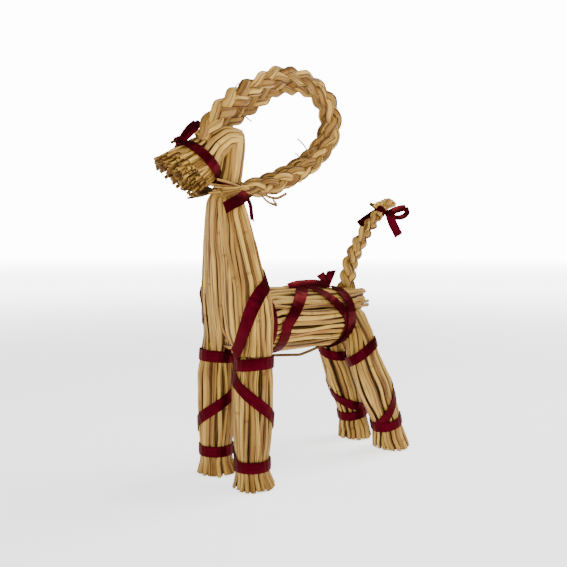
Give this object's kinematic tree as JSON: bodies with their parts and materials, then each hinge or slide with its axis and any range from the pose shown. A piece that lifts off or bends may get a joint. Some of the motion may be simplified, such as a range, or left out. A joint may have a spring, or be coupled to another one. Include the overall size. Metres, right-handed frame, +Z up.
{
  "type": "straw goat ornament",
  "caption": "Standing goat of bound straw bundles with two large plaited horn loops, an upright plaited tail and dark red satin ribbon bindings.",
  "frame": {"origin": "middle of the goat's bounding box, on the surface that it stands on", "axes": "+Z up; the goat faces -Y, with its left side at +X"},
  "size_m": [0.1014, 0.3396, 0.4072],
  "materials": {
    "straw": "dry natural straw, faintly glossy stalks with dark gaps between them",
    "satin_ribbon": "dark red satin ribbon with a soft sheen"
  },
  "bodies": {
    "root": {"neck_and_forelegs": "straw", "body_bundle": "straw", "hind_legs": "straw", "horn_left": "straw", "horn_right": "straw", "tail_plait": "straw", "ribbon_foreleg_left": "satin_ribbon", "ribbon_foreleg_right": "satin_ribbon", "ribbon_hindleg_left": "satin_ribbon", "ribbon_hindleg_right": "satin_ribbon", "ribbon_chest": "satin_ribbon", "ribbon_body": "satin_ribbon", "ribbon_muzzle": "satin_ribbon", "ribbon_horns": "satin_ribbon", "ribbon_tail": "satin_ribbon"}
  },
  "joints": []
}
